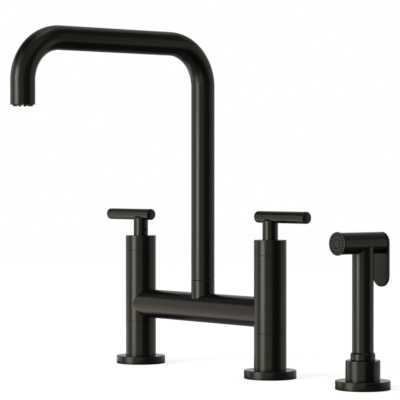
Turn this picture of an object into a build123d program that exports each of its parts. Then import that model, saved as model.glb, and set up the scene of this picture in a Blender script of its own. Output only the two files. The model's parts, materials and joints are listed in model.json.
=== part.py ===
from build123d import *
from math import cos, pi, radians, sin, sqrt
import os

# A bridge kitchen faucet: two valve columns joined by a bridge, a swivelling spout and a side spray.
# Millimetres. X runs along the bridge to the user's right, Y away from the user, Z up.
# The origin lies on the deck, midway between the two columns.

# ---- Clearances -------------------------------------------------------------------------------
slip_gap = 0.05  # radial, between pieces that are screwed, pressed or soldered together
running_gap = 0.08  # radial, between pieces that turn or slide in each other
free_gap = 0.3  # between moving pieces that never rub
disc_gap = 0.02  # between the lapped faces of the ceramic discs

# ---- Layout on the deck -----------------------------------------------------------------------
valve_spacing = 203.2
spray_distance = 127.0  # from the right-hand column to the side spray
deck_thickness = 30.0  # the counter that the mounting nuts clamp

# ---- Flanges and the hardware under the deck --------------------------------------------------
flange_diameter = 50.0
flange_height = 8.0
flange_edge = 0.5
flange_recess = 1.5  # depth of the seat that the column stands in
gasket_thickness = 1.5
gasket_width = 4.0
gasket_inset = 3.0  # from the flange's rim to the gasket

shank_diameter = 26.4
shank_bore = 21.5
shank_length = 55.0  # below the deck
shank_gap = 11.2  # from the shank's top up to the valve body's foot
spray_shank_engagement = 8.75  # above the flange's seat, in the spray's holder
nut_width = 36.0  # across flats
nut_height = 10.0
washer_diameter = 46.0
rubber_washer_thickness = 3.0
steel_washer_thickness = 1.5

# ---- Columns ----------------------------------------------------------------------------------
column_diameter = 31.0
column_height = 131.3
cap_height = 14.6
cap_roof = 8.0  # the cap's thickness over the cartridge
bridge_drop = 18.1  # from the valve's seat down to the bridge's axis
body_drop = 18.7  # from the bridge's axis down to the valve body's seam on the pillar
column_edge = 0.25  # the eased edges that make the seams visible
spigot_length = 8.0

# ---- Quarter-turn cartridges ------------------------------------------------------------------
barrel_diameter = 16.6
barrel_length = 17.0  # from the valve's seat up to the thread
barrel_wall = 1.3
barrel_foot = 0.8  # the seal stands this far out of the barrel
barrel_window = 3.6
cartridge_thread_diameter = 20.6
cartridge_thread_length = 11.0
hex_width = 22.0
hex_height = 6.0
neck_diameter = 16.0
neck_length = 9.0  # above the hexagon
spindle_diameter = 8.0
spindle_rise = 9.7  # above the cap
spindle_foot_height = 3.0
disc_thickness = 3.0
seal_thickness = 2.5
disc_window_angle = 76.0
disc_window_inner = 1.5
disc_window_rim = 1.2
supply_bore = 8.0
channel_diameter = 5.0

# ---- Ports for the hoses ----------------------------------------------------------------------
port_diameter = 9.0
port_depth = 10.0
port_offset = 5.6  # of the cold and the spray port, either side of the column's axis
port_drill = 7.2  # the drilling above a port's thread

# ---- Handles ----------------------------------------------------------------------------------
stem_diameter = 14.85
stem_rise = 19.8  # above the cap
stem_chamfer = 2.0
stem_lift = 1.0  # the stem's foot stands this far above the cartridge's neck
bar_diameter = 11.4
bar_rise = 21.65  # from the cap up to the bar's axis
bar_long_side = 52.5
bar_short_side = 18.2
bar_edge = 0.6
set_screw_diameter = 3.0
set_screw_rise = 6.1  # above the cap
set_screw_sink = 0.9
set_screw_key = 1.5
set_screw_key_depth = 2.0

# ---- Bridge -----------------------------------------------------------------------------------
bridge_diameter = 29.05
bridge_wall = 1.5
bridge_socket_diameter = 20.0
bridge_socket_floor = 8.0  # from the column's axis
end_fitting_length = 10.0

# ---- Spout socket and diverter ----------------------------------------------------------------
socket_rise = 27.4  # from the bridge's axis up to the socket's top
socket_floor_rise = 4.6
socket_floor_thickness = 2.0
socket_neck_diameter = 19.8
plug_diameter = 16.0
plug_lift = 1.2  # from the diverter's flange to the plug's foot
lock_screw_diameter = 4.0
lock_screw_drop = 8.8  # below the socket's top
lock_screw_key = 2.0
lock_screw_key_depth = 1.5
lock_screw_tip = 2.0
lock_screw_sink = 0.4
lock_groove_depth = 1.2
diverter_diameter = 10.0
diverter_bore = 5.2  # below the poppet
diverter_chamber = 7.6  # above it
diverter_foot_drop = 11.9  # below the bridge's axis
diverter_flange = 1.8
diverter_hub_diameter = 9.2
diverter_hub_height = 8.0  # above the socket's floor
diverter_lip = 1.0  # holds the spring in
diverter_window = 3.5
diverter_outlet = 3.0
diverter_boss_length = 10.0
poppet_diameter = 6.4
poppet_guide = 3.4
poppet_thickness = 1.6
seat_rise = 0.5  # from the way to the spray up to the poppet's seat
poppet_travel = 2.5
feed_tube_diameter = 6.35
feed_tube_wall = 0.8
feed_tube_drop = 2.9  # below the bridge's axis
feed_tube_room = 0.56  # between the tube and the bore of the end fitting it passes through
feed_tube_offset = 3.4  # towards the user, from the bridge's axis
feed_tube_start = 5.2  # from the socket's axis
feed_tube_end = 1.0  # short of the right column's axis

# ---- Spout ------------------------------------------------------------------------------------
spout_diameter = 23.2
spout_wall = 1.5
spout_height = 320.9
spout_reach = 213.1
spout_bend_radius = 41.0
outlet_straight = 22.5  # from the bend down to the outlet
spout_washer_thickness = 0.5
spout_washer_inset = 0.5
plug_insertion = 15.0
plug_bore = 11.0
oring_thickness = 2.2
oring_shift = 0.6  # how much further from the lock groove than halfway
aerator_rim_gap = 0.75  # between the rim and the spout's bore
aerator_rim_drop = 1.4
aerator_rim_width = 1.8
aerator_rim_height = 4.0
aerator_height = 9.0
aerator_tooth_count = 12
aerator_screen_thickness = 1.2
aerator_screen_lift = 0.4  # above the spout's end
aerator_screen_hole = 1.6
aerator_screen_pitch = 2.4
aerator_screen_rim = 1.5
aerator_gasket_thickness = 2.0

# ---- Side spray -------------------------------------------------------------------------------
holder_diameter = 31.5
holder_top_height = 26.2
holder_edge = 0.5
liner_thickness = 1.6
liner_bore = 18.4
ferrule_diameter = 22.5
ferrule_height = 7.7
ferrule_round = 2.3
ferrule_floor = 3.0
ferrule_tail_length = 9.0
fitting_diameter = 15.0
fitting_neck_diameter = 12.0
fitting_head = 1.8
fitting_port_diameter = 8.6
fitting_port_depth = 8.0
fitting_bore = 7.0

wand_diameter = 19.5
wand_wall = 1.75
bush_length = 11.0
bush_play = 1.7  # between the bush and the fitting's head
head_diameter = 19.75
head_height = 131.35
head_front = 29.9  # from the wand's axis towards the user
head_back = 21.3
head_edge = 0.5
head_bore = 16.0
valve_chamber_diameter = 14.0
inlet_diameter = 12.0
face_diameter = 21.2
face_thickness = 1.1
face_groove = 1.0
face_groove_depth = 0.9
face_plug_length = 6.0
face_hole_diameter = 1.1
face_outer_hole_count = 18
face_outer_hole_radius = 7.9
face_inner_hole_count = 9
face_inner_hole_radius = 4.2
face_wall = 1.0
face_chamber_wall = 0.5

valve_seat_back = 13.0  # the seat's back face, from the wand's axis towards the user
valve_seat_thickness = 3.0
valve_seat_hole = 7.0
valve_seal_diameter = 10.0
valve_seal_thickness = 1.5
valve_head_diameter = 11.2
valve_head_thickness = 2.0
valve_stem_diameter = 4.8
valve_neck_diameter = 3.0
valve_neck_length = 3.2
valve_button_diameter = 5.2
valve_button_length = 0.8
valve_button_sink = 0.3  # in from the head's back
gland_start = 8.0
gland_length = 5.0

lever_width = 20.0
lever_length = 49.8
lever_thickness = 2.5
lever_gap = 0.35  # from the head's back to the lever
lever_edge = 0.4
lever_top = 9.95  # above the head's axis
lever_slot_gap = 0.2
hinge_rise = 1.975  # from the head's underside up to the lever's pin
hinge_inset = 2.3  # from the head's back to the lever's pin
lever_pin_diameter = 1.6
knuckle_diameter = 4.0
tongue_width = 7.0
fork_thickness = 1.2
fork_rise = 1.95  # from the head's axis up to the top of the fork's prongs

spring_wire_diameter = 1.0
valve_spring_diameter = 9.4
valve_spring_turns = 6
diverter_spring_diameter = 5.2
diverter_spring_wire = 0.5
diverter_spring_turns = 4

# ---- Places that follow from the sizes above ---------------------------------------------------
left_x = -valve_spacing / 2
right_x = valve_spacing / 2
spray_x = right_x + spray_distance
column_radius = column_diameter / 2
seat_level = flange_height - flange_recess  # where the columns stand in their flanges

# The columns, from the top down.
cap_seam_height = column_height - cap_height
cap_inner_height = column_height - cap_roof
neck_height = cap_inner_height - free_gap
hex_top_height = neck_height - neck_length
hex_start_height = hex_top_height - hex_height
thread_start_height = hex_start_height - cartridge_thread_length
seat_height = thread_start_height - barrel_length
bridge_height = seat_height - bridge_drop
body_seam_height = bridge_height - body_drop
body_foot = body_seam_height - spigot_length
shank_top = body_foot - shank_gap

spindle_top_height = column_height + spindle_rise
stem_foot = cap_inner_height + stem_lift
stem_top_height = column_height + stem_rise
bar_height = column_height + bar_rise
set_screw_height = column_height + set_screw_rise
bar_radius = bar_diameter / 2

bridge_radius = bridge_diameter / 2
bridge_bore = bridge_radius - bridge_wall
socket_top_height = bridge_height + socket_rise
socket_floor_height = bridge_height + socket_floor_rise
lock_screw_height = socket_top_height - lock_screw_drop
diverter_foot_height = bridge_height - diverter_foot_drop
feed_tube_height = bridge_height - feed_tube_drop
feed_tube_reach = sqrt(feed_tube_offset**2 + feed_tube_drop**2) + feed_tube_diameter / 2
end_fitting_bore = feed_tube_reach + feed_tube_room

spout_radius = spout_diameter / 2
spout_bore = spout_radius - spout_wall
spout_foot = socket_top_height + spout_washer_thickness
plug_foot = socket_floor_height + diverter_flange + plug_lift
outlet_height = spout_height - spout_bend_radius - outlet_straight
aerator_rim_radius = spout_bore - aerator_rim_gap

spray_shank_top = seat_level + spray_shank_engagement
ferrule_top = holder_top_height + ferrule_height
fitting_foot = holder_top_height - ferrule_tail_length
wand_radius = wand_diameter / 2
wand_bore = wand_radius - wand_wall
wand_foot = holder_top_height + ferrule_floor
bush_top = wand_foot + free_gap + bush_length
fitting_neck_top = bush_top + bush_play + fitting_head
valve_button_end = head_back - valve_button_sink
valve_neck_end = valve_button_end - valve_button_length
hinge_drop = head_diameter / 2 - hinge_rise
hinge_y = head_back - hinge_inset
hinge_z = head_height - hinge_drop


# ---- Shapes that repeat -------------------------------------------------------------------------
def rod(radius, low, high, at=(0, 0)):
    """An upright cylinder between two heights, at a place (x, y) on the deck."""
    return Pos(at[0], at[1], (low + high) / 2) * Cylinder(radius, high - low)


def rod_x(radius, low, high, y=0.0, z=0.0):
    """A cylinder along X."""
    return Pos((low + high) / 2, y, z) * Rot(0, 90, 0) * Cylinder(radius, high - low)


def rod_y(radius, low, high, x=0.0, z=0.0):
    """A cylinder along Y."""
    return Pos(x, (low + high) / 2, z) * Rot(90, 0, 0) * Cylinder(radius, high - low)


def ring(outer, inner, low, high, at=(0, 0)):
    """An upright tube or washer between two heights."""
    return rod(outer, low, high, at) - rod(inner, low - 1, high + 1, at)


def block(low, high):
    """A box between two opposite corners."""
    size = [b - a for a, b in zip(low, high)]
    middle = [(a + b) / 2 for a, b in zip(low, high)]
    return Pos(*middle) * Box(*size)


def hexagon(width, low, high, at=(0, 0)):
    """A hexagonal prism, given across its flats."""
    outline = RegularPolygon(width / 2, 6, major_radius=False)
    return Pos(at[0], at[1], low) * extrude(outline, high - low)


def eased(shape, size, axis=Axis.Z, top=True, bottom=False):
    """Chamfers the outermost circular edge at one or both ends of a turned piece."""
    rims = shape.edges().filter_by(GeomType.CIRCLE).group_by(axis)
    ends = []
    if top:
        ends.append(rims[-1].sort_by(SortBy.RADIUS)[-1])
    if bottom:
        ends.append(rims[0].sort_by(SortBy.RADIUS)[-1])
    return chamfer(ends, size)


def o_ring(outer_radius, thickness, height, at=(0, 0)):
    """An O-ring whose outside has the given radius."""
    middle = outer_radius - thickness / 2
    return Pos(at[0], at[1], height) * Torus(middle, thickness / 2)


def o_ring_groove(outer_radius, thickness, height):
    """The groove that such an O-ring fills."""
    return ring(
        outer_radius + 1,
        outer_radius - thickness,
        height - thickness / 2,
        height + thickness / 2,
    )


def coil(mean_diameter, wire_diameter, turns, low, high):
    """A compression spring about Z: one tube along a helix, between two heights."""
    span = high - low - wire_diameter
    path = Helix(span / turns, span, mean_diameter / 2)
    section = Plane(origin=path @ 0, z_dir=path % 0) * Circle(wire_diameter / 2)
    return Pos(0, 0, low + wire_diameter / 2) * sweep(section, path, is_frenet=True)


# ---- Flanges, shanks and mounting hardware --------------------------------------------------------
def flange(x, seat_radius):
    """The flange on the deck: a seat on top for the column, a groove below for the gasket."""
    outer = flange_diameter / 2
    plate = eased(rod(outer, 0, flange_height, (x, 0)), flange_edge)
    plate -= rod(shank_diameter / 2 + free_gap, -1, flange_height + 1, (x, 0))
    plate -= rod(seat_radius + slip_gap, seat_level, flange_height + 1, (x, 0))
    groove_outer = outer - gasket_inset
    return plate - ring(groove_outer, groove_outer - gasket_width, -1, gasket_thickness, (x, 0))


def flange_gasket(x):
    outer = flange_diameter / 2 - gasket_inset - slip_gap
    inner = flange_diameter / 2 - gasket_inset - gasket_width + slip_gap
    return ring(outer, inner, 0, gasket_thickness, (x, 0))


def shank(x, top):
    return ring(shank_diameter / 2, shank_bore / 2, -shank_length, top, (x, 0))


def rubber_washer(x):
    top = -deck_thickness
    bore = shank_diameter / 2 + slip_gap
    return ring(washer_diameter / 2, bore, top - rubber_washer_thickness, top, (x, 0))


def steel_washer(x):
    top = -deck_thickness - rubber_washer_thickness
    bore = shank_diameter / 2 + slip_gap
    return ring(washer_diameter / 2, bore, top - steel_washer_thickness, top, (x, 0))


def mounting_nut(x):
    top = -deck_thickness - rubber_washer_thickness - steel_washer_thickness
    nut = hexagon(nut_width, top - nut_height, top, (x, 0))
    return nut - rod(shank_diameter / 2 + slip_gap, top - nut_height - 1, top + 1, (x, 0))


# ---- Columns ----------------------------------------------------------------------------------
def pillar(x):
    tube = ring(column_radius, shank_diameter / 2 + slip_gap, seat_level, body_seam_height, (x, 0))
    return eased(tube, column_edge)


def valve_body(x, inward, with_spray_port):
    """The brass body of one valve. Inward is the direction of the bridge along X: 1 or -1."""
    body = rod(column_radius, body_seam_height, cap_seam_height, (x, 0))
    body = eased(body, column_edge, bottom=True)
    body += rod(shank_diameter / 2, body_foot, body_seam_height + 1, (x, 0))

    body -= rod(barrel_diameter / 2 + free_gap, seat_height, thread_start_height, (x, 0))
    thread_bore = cartridge_thread_diameter / 2 + slip_gap
    body -= rod(thread_bore, thread_start_height, hex_start_height, (x, 0))
    hex_corner = hex_width / sqrt(3)
    body -= rod(hex_corner + free_gap, hex_start_height, cap_seam_height + 1, (x, 0))

    socket_ends = sorted((x + inward * bridge_socket_floor, x + inward * (column_radius + 1)))
    body -= rod_x(bridge_socket_diameter / 2, *socket_ends, z=bridge_height)
    channel_x = x + inward * barrel_diameter / 2
    channel_top = seat_height + (thread_start_height - seat_height) / 2
    body -= rod(channel_diameter / 2, bridge_height, channel_top, (channel_x, 0))

    if not with_spray_port:
        body -= rod(supply_bore / 2, body_foot - 1, seat_height + 1, (x, 0))
        body -= rod(port_diameter / 2, body_foot - 1, body_foot + port_depth, (x, 0))
        return body
    supply_top = (bridge_height + bridge_socket_diameter / 2 + seat_height) / 2
    body -= rod(supply_bore / 2, supply_top - port_drill, seat_height + 1, (x, 0))
    body -= rod(port_drill / 2, body_foot - 1, supply_top, (x, port_offset))
    body -= rod(port_drill / 2, body_foot - 1, feed_tube_height + 1, (x, -port_offset))
    for side in (-1, 1):
        port_at = (x, side * port_offset)
        body -= rod(port_diameter / 2, body_foot - 1, body_foot + port_depth, port_at)
    feed_ends = sorted((x, x + inward * (bridge_socket_floor + 1)))
    feed_bore = feed_tube_diameter / 2 + slip_gap
    return body - rod_x(feed_bore, *feed_ends, y=-feed_tube_offset, z=feed_tube_height)


def cap(x):
    """The cap over the cartridge, screwed on its neck and open for the handle's stem."""
    shell = rod(column_radius, cap_seam_height, column_height, (x, 0))
    shell = eased(shell, column_edge, bottom=True)
    shell -= rod(neck_diameter / 2 + slip_gap, cap_seam_height - 1, cap_inner_height, (x, 0))
    stem_hole = stem_diameter / 2 + free_gap
    return shell - rod(stem_hole, cap_seam_height, column_height + 1, (x, 0))


def cartridge_body(x):
    foot = seat_height + barrel_foot
    shell = rod(barrel_diameter / 2, foot, thread_start_height, (x, 0))
    shell += rod(cartridge_thread_diameter / 2, thread_start_height, hex_start_height, (x, 0))
    shell += hexagon(hex_width, hex_start_height, hex_top_height, (x, 0))
    shell += rod(neck_diameter / 2, hex_top_height, neck_height, (x, 0))
    bore = barrel_diameter / 2 - barrel_wall
    cavity_top = spindle_foot_top() + free_gap
    shell -= rod(bore, foot - 1, cavity_top, (x, 0))
    shell -= rod(spindle_diameter / 2 + running_gap, cavity_top - 1, neck_height + 1, (x, 0))
    window_height = moving_disc_foot() + disc_thickness / 2
    return shell - rod_y(barrel_window / 2, -barrel_diameter, barrel_diameter, x, window_height)


def fixed_disc_foot():
    return seat_height + seal_thickness


def moving_disc_foot():
    return fixed_disc_foot() + disc_thickness + disc_gap


def spindle_foot_top():
    return moving_disc_foot() + disc_thickness + spindle_foot_height


def disc_window(outer):
    """A quarter-circle window through a ceramic disc, on its +X side."""
    half = radians(disc_window_angle / 2)
    reach = 2 * outer
    corner = (reach * cos(half), reach * sin(half))
    wedge = Polyline((0, 0), (corner[0], -corner[1]), corner, close=True)
    height = disc_thickness + 2
    sector = extrude(make_face(wedge), height) & rod(outer, 0, height)
    return sector - rod(disc_window_inner, 0, height)


def ceramic_disc(x, foot, turn):
    """A lapped disc with two opposite windows, turned about its axis by an angle in degrees."""
    radius = barrel_diameter / 2 - barrel_wall - running_gap
    disc = rod(radius, foot, foot + disc_thickness, (x, 0))
    for half_turn in (0, 180):
        window = Rot(0, 0, turn + half_turn) * disc_window(radius - disc_window_rim)
        disc -= Pos(x, 0, foot - 1) * window
    return disc


def seat_seal(x):
    outer = barrel_diameter / 2 - barrel_wall - slip_gap
    return ring(outer, supply_bore / 2 + slip_gap, seat_height, fixed_disc_foot(), (x, 0))


def spindle(x):
    foot = moving_disc_foot() + disc_thickness
    base_radius = barrel_diameter / 2 - barrel_wall - running_gap
    return rod(base_radius, foot, spindle_foot_top(), (x, 0)) + rod(
        spindle_diameter / 2, foot, spindle_top_height, (x, 0)
    )


# ---- Handles ----------------------------------------------------------------------------------
def handle_stem(x, outward):
    """The upright of a handle, with a saddle on top for the bar. Outward is away from the bridge."""
    stem = rod(stem_diameter / 2, stem_foot, stem_top_height, (x, 0))
    stem = eased(stem, stem_chamfer)
    stem -= rod(spindle_diameter / 2 + slip_gap, stem_foot - 1, spindle_top_height + free_gap, (x, 0))
    stem -= rod_x(bar_radius + slip_gap, x - stem_diameter, x + stem_diameter, z=bar_height)
    hole_ends = sorted((x, x - outward * stem_diameter))
    return stem - rod_x(set_screw_diameter / 2 + slip_gap, *hole_ends, z=set_screw_height)


def handle_bar(x, outward):
    ends = sorted((x + outward * bar_long_side, x - outward * bar_short_side))
    return eased(rod_x(bar_radius, *ends, z=bar_height), bar_edge, Axis.X, bottom=True)


def set_screw(x, outward):
    """A grub screw in the stem, on the side towards the bridge, with a hexagonal key hole."""
    tip = x - outward * (spindle_diameter / 2 + slip_gap)
    head = x - outward * (stem_diameter / 2 - set_screw_sink)
    screw = rod_x(set_screw_diameter / 2, *sorted((tip, head)), z=set_screw_height)
    outline = RegularPolygon(set_screw_key / 2, 6, major_radius=False)
    key = Rot(0, 90, 0) * extrude(outline, set_screw_key_depth, both=True)
    return screw - Pos(head, 0, set_screw_height) * key


# ---- Bridge, socket and diverter ---------------------------------------------------------------
def bridge_tube():
    tube = rod_x(bridge_radius, left_x, right_x, z=bridge_height)
    tube -= rod_x(bridge_bore, left_x - 1, right_x + 1, z=bridge_height)
    for x in (left_x, right_x):
        tube -= rod(column_radius + slip_gap, 0, column_height, (x, 0))
    return tube - rod(socket_neck_diameter / 2 + slip_gap, bridge_height, socket_top_height)


def bridge_end_fitting(x, inward):
    """The soldered nipple that carries the water between the bridge and a valve body."""
    shoulder = x + inward * (column_radius + slip_gap)
    far = shoulder + inward * end_fitting_length
    tip = x + inward * (bridge_socket_floor + slip_gap)
    nipple = rod_x(bridge_bore - slip_gap, *sorted((shoulder, far)), z=bridge_height)
    nipple += rod_x(bridge_socket_diameter / 2 - slip_gap, *sorted((tip, far)), z=bridge_height)
    return nipple - rod_x(end_fitting_bore, *sorted((tip - inward, far + inward)), z=bridge_height)


def spout_socket():
    """The socket on the bridge that the spout turns in, with a neck down into the tube."""
    socket = rod(spout_radius, bridge_height, socket_top_height)
    socket = eased(socket, column_edge)
    socket -= rod_x(bridge_radius + slip_gap, -spout_diameter, spout_diameter, z=bridge_height)
    floor = socket_floor_height - socket_floor_thickness
    socket += rod(socket_neck_diameter / 2, floor, socket_top_height - 1)
    socket -= rod(plug_diameter / 2 + running_gap, socket_floor_height, socket_top_height + 1)
    socket -= rod(diverter_diameter / 2 + slip_gap, floor - 1, socket_top_height)
    return socket - rod_y(lock_screw_diameter / 2 + slip_gap, 0, spout_diameter, z=lock_screw_height)


def lock_screw():
    """The grub screw at the back of the socket. Its tip runs in a groove of the spout's plug."""
    tip = plug_diameter / 2 - lock_groove_depth + free_gap
    head = spout_radius - lock_screw_sink
    screw = rod_y(lock_screw_diameter / 2, plug_diameter / 2 + running_gap, head, z=lock_screw_height)
    screw += rod_y(lock_screw_tip / 2, tip, head, z=lock_screw_height)
    outline = RegularPolygon(lock_screw_key / 2, 6, major_radius=False)
    key = Rot(90, 0, 0) * extrude(outline, lock_screw_key_depth, both=True)
    return screw - Pos(0, head, lock_screw_height) * key


def spout_washer():
    outer = spout_radius - spout_washer_inset
    inner = plug_diameter / 2 + running_gap
    return ring(outer, inner, socket_top_height, spout_foot)


def poppet_foot():
    """The height of the diverter's seat, just above the way to the spray."""
    return feed_tube_height + feed_tube_diameter / 2 + seat_rise


def spring_ceiling():
    return socket_floor_height + diverter_hub_height - diverter_lip


def diverter_body():
    """The diverter: water enters near its foot, and leaves to the spray or past the poppet."""
    flange_top = socket_floor_height + diverter_flange
    hub_top = spring_ceiling() + diverter_lip
    body = rod(diverter_diameter / 2, diverter_foot_height, flange_top)
    body += rod(plug_diameter / 2 - free_gap, socket_floor_height, flange_top)
    body += rod(diverter_hub_diameter / 2, flange_top - 1, hub_top)
    boss_radius = feed_tube_diameter / 2 + feed_tube_wall
    body += rod_x(boss_radius, 0, diverter_boss_length, -feed_tube_offset, feed_tube_height)
    floor = diverter_foot_height + feed_tube_wall
    body -= rod(diverter_bore / 2, floor, poppet_foot() + 1)
    body -= rod(diverter_chamber / 2, poppet_foot(), spring_ceiling())
    body -= rod(poppet_guide / 2 + free_gap, poppet_foot(), hub_top + 1)
    window_height = floor + feed_tube_wall + diverter_window / 2
    body -= rod_y(diverter_window / 2, -diverter_diameter, diverter_diameter, 0, window_height)
    outlet_height = (flange_top + spring_ceiling()) / 2
    body -= rod_y(diverter_outlet / 2, -diverter_diameter, diverter_diameter, 0, outlet_height)
    feed_bore = feed_tube_diameter / 2 + slip_gap
    feed_end = diverter_boss_length + 1
    return body - rod_x(feed_bore, feed_tube_wall, feed_end, -feed_tube_offset, feed_tube_height)


def diverter_poppet():
    foot = poppet_foot()
    disc = rod(poppet_diameter / 2, foot, foot + poppet_thickness)
    return disc + rod(poppet_guide / 2, foot, spring_ceiling() + diverter_lip)


def feed_tube():
    """The thin tube inside the bridge that takes water from the diverter to the spray's port."""
    end = right_x - feed_tube_end
    radius = feed_tube_diameter / 2
    bore = radius - feed_tube_wall
    tube = rod_x(radius, feed_tube_start, end, -feed_tube_offset, feed_tube_height)
    return tube - rod_x(bore, feed_tube_start - 1, end + 1, -feed_tube_offset, feed_tube_height)


# ---- Spout ------------------------------------------------------------------------------------
def spout_path():
    """The spout's centre line: up, round a bend, forwards, round a bend and down."""
    top = spout_height
    points = [(0, 0, spout_foot), (0, 0, top), (0, -spout_reach, top), (0, -spout_reach, outlet_height)]
    return FilletPolyline(*points, radius=spout_bend_radius)


def spout_tube():
    path = spout_path()
    profile = Circle(spout_radius) - Circle(spout_bore)
    return sweep(Plane(origin=path @ 0, z_dir=path % 0) * profile, path)


def spout_plug():
    """The turned end of the spout that sits in the socket, with two O-rings and a lock groove."""
    radius = plug_diameter / 2
    plug = rod(radius, plug_foot, spout_foot + 1)
    plug += rod(spout_bore - slip_gap, spout_foot, spout_foot + plug_insertion)
    for height in oring_heights():
        plug -= o_ring_groove(radius, oring_thickness, height)
    groove = lock_screw_tip / 2 + free_gap
    groove_floor = radius - lock_groove_depth
    plug -= ring(radius + 1, groove_floor, lock_screw_height - groove, lock_screw_height + groove)
    return plug - rod(plug_bore / 2, plug_foot - 1, spout_foot + plug_insertion + 1)


def oring_heights():
    """One O-ring above the lock groove and one below it."""
    upper = (lock_screw_height + socket_top_height) / 2 + oring_shift
    lower = (lock_screw_height + plug_foot) / 2 - oring_shift
    return (lower, upper)


def aerator_shell():
    """The aerator's shell. Its castellated rim stands out of the spout's end."""
    rim = aerator_rim_radius
    foot = outlet_height - aerator_rim_drop
    thread_foot = foot + aerator_rim_height
    top = thread_foot + aerator_height
    shell = rod(rim, foot, thread_foot, (0, -spout_reach))
    shell += rod(spout_bore - slip_gap, thread_foot, top, (0, -spout_reach))
    shell -= rod(rim - aerator_rim_width, foot - 1, top + 1, (0, -spout_reach))
    notch = block(
        (rim - aerator_rim_width - 1, -pi * rim / aerator_tooth_count / 2, foot - 1),
        (rim + 1, pi * rim / aerator_tooth_count / 2, outlet_height),
    )
    for tooth in range(aerator_tooth_count):
        shell -= Pos(0, -spout_reach, 0) * Rot(0, 0, tooth * 360 / aerator_tooth_count) * notch
    return shell


def aerator_screen():
    radius = aerator_rim_radius - aerator_rim_width - slip_gap
    foot = outlet_height + aerator_screen_lift
    top = foot + aerator_screen_thickness
    disc = rod(radius, foot, top, (0, -spout_reach))
    steps = int(radius / aerator_screen_pitch)
    for i in range(-steps, steps + 1):
        for j in range(-steps, steps + 1):
            across = i * aerator_screen_pitch
            along = j * aerator_screen_pitch
            if sqrt(across**2 + along**2) < radius - aerator_screen_rim:
                hole_at = (across, along - spout_reach)
                disc -= rod(aerator_screen_hole / 2, foot - 1, top + 1, hole_at)
    return disc


def aerator_gasket():
    foot = outlet_height - aerator_rim_drop + aerator_rim_height + aerator_height
    inner = aerator_rim_radius - aerator_rim_width
    return ring(spout_bore - slip_gap, inner, foot, foot + aerator_gasket_thickness, (0, -spout_reach))


# ---- Side spray: holder and hose fitting ---------------------------------------------------------
def spray_holder():
    top = holder_top_height
    holder = rod(holder_diameter / 2, seat_level, top, (spray_x, 0))
    holder = eased(holder, holder_edge)
    thread_top = spray_shank_top + slip_gap
    holder -= rod(shank_diameter / 2 + slip_gap, seat_level - 1, thread_top, (spray_x, 0))
    return holder - rod(liner_bore / 2 + liner_thickness + slip_gap, seat_level, top + 1, (spray_x, 0))


def holder_liner():
    """The nylon sleeve that guides the hose fitting. It stands on the shank."""
    bore = liner_bore / 2
    top = holder_top_height - free_gap
    return ring(bore + liner_thickness, bore, spray_shank_top, top, (spray_x, 0))


def spray_ferrule():
    """The collar that rests on the holder. The wand turns in the cup on its top."""
    collar = rod(ferrule_diameter / 2, holder_top_height, ferrule_top, (spray_x, 0))
    rim = collar.edges().filter_by(GeomType.CIRCLE).group_by(Axis.Z)[-1]
    collar = fillet(rim, ferrule_round)
    tail_radius = liner_bore / 2 - free_gap
    collar += rod(tail_radius, fitting_foot, holder_top_height + 1, (spray_x, 0))
    collar -= rod(wand_radius + running_gap, wand_foot, ferrule_top + 1, (spray_x, 0))
    return collar - rod(fitting_diameter / 2 + slip_gap, fitting_foot - 1, ferrule_top, (spray_x, 0))


def hose_fitting():
    """The hose's end fitting: a thread for the hose below, a neck that the wand turns on above."""
    foot = fitting_foot
    fitting = rod(fitting_diameter / 2, foot, wand_foot, (spray_x, 0))
    fitting += rod(fitting_neck_diameter / 2, foot, fitting_neck_top, (spray_x, 0))
    head_radius = wand_bore - free_gap
    fitting += rod(head_radius, fitting_neck_top - fitting_head, fitting_neck_top, (spray_x, 0))
    fitting -= rod(fitting_bore / 2, foot - 1, fitting_neck_top + 1, (spray_x, 0))
    return fitting - rod(fitting_port_diameter / 2, foot - 1, foot + fitting_port_depth, (spray_x, 0))


# ---- Side spray: wand ---------------------------------------------------------------------------
def wand_tube():
    tube = ring(wand_radius, wand_bore, wand_foot + free_gap, head_height, (spray_x, 0))
    return tube - rod_y(head_diameter / 2 + slip_gap, -head_front, head_back, spray_x, head_height)


def wand_bush():
    """The bush in the wand's foot that turns on the hose fitting's neck."""
    foot = wand_foot + free_gap
    inner = fitting_neck_diameter / 2 + running_gap
    return ring(wand_bore - slip_gap, inner, foot, bush_top, (spray_x, 0))


def spray_head():
    """The head across the top of the wand, bored from the front, with a slot behind for the lever."""
    radius = head_diameter / 2
    head = rod_y(radius, -head_front, head_back, spray_x, head_height)
    head = eased(head, head_edge, Axis.Y)
    head -= rod_y(head_bore / 2, -head_front - 1, -valve_seat_back, spray_x, head_height)
    gland_end = gland_start + gland_length
    head -= rod_y(valve_chamber_diameter / 2, -valve_seat_back - 1, gland_end, spray_x, head_height)
    head -= rod(inlet_diameter / 2, head_height - radius - 1, head_height, (spray_x, 0))
    stem_hole = valve_stem_diameter / 2 + running_gap
    head -= rod_y(stem_hole, gland_end - 1, head_back + 1, spray_x, head_height)
    slot_half = tongue_width / 2 + lever_slot_gap
    slot_front = hinge_y - knuckle_diameter / 2 - free_gap
    slot_top = head_height + max(fork_rise, valve_button_diameter / 2) + free_gap
    head -= block(
        (spray_x - slot_half, slot_front, head_height - radius - 1),
        (spray_x + slot_half, head_back + 1, slot_top),
    )
    pin_half = lever_pin_length() / 2
    pin_hole = lever_pin_diameter / 2 + slip_gap
    return head - rod_x(pin_hole, spray_x - pin_half, spray_x + pin_half, hinge_y, hinge_z)


def lever_pin_length():
    """The pin ends just inside the head's round side."""
    half_width = sqrt((head_diameter / 2) ** 2 - (hinge_drop + lever_pin_diameter / 2) ** 2)
    return 2 * half_width


def lever_pin():
    half = lever_pin_length() / 2 - slip_gap
    return rod_x(lever_pin_diameter / 2, spray_x - half, spray_x + half, hinge_y, hinge_z)


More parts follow.
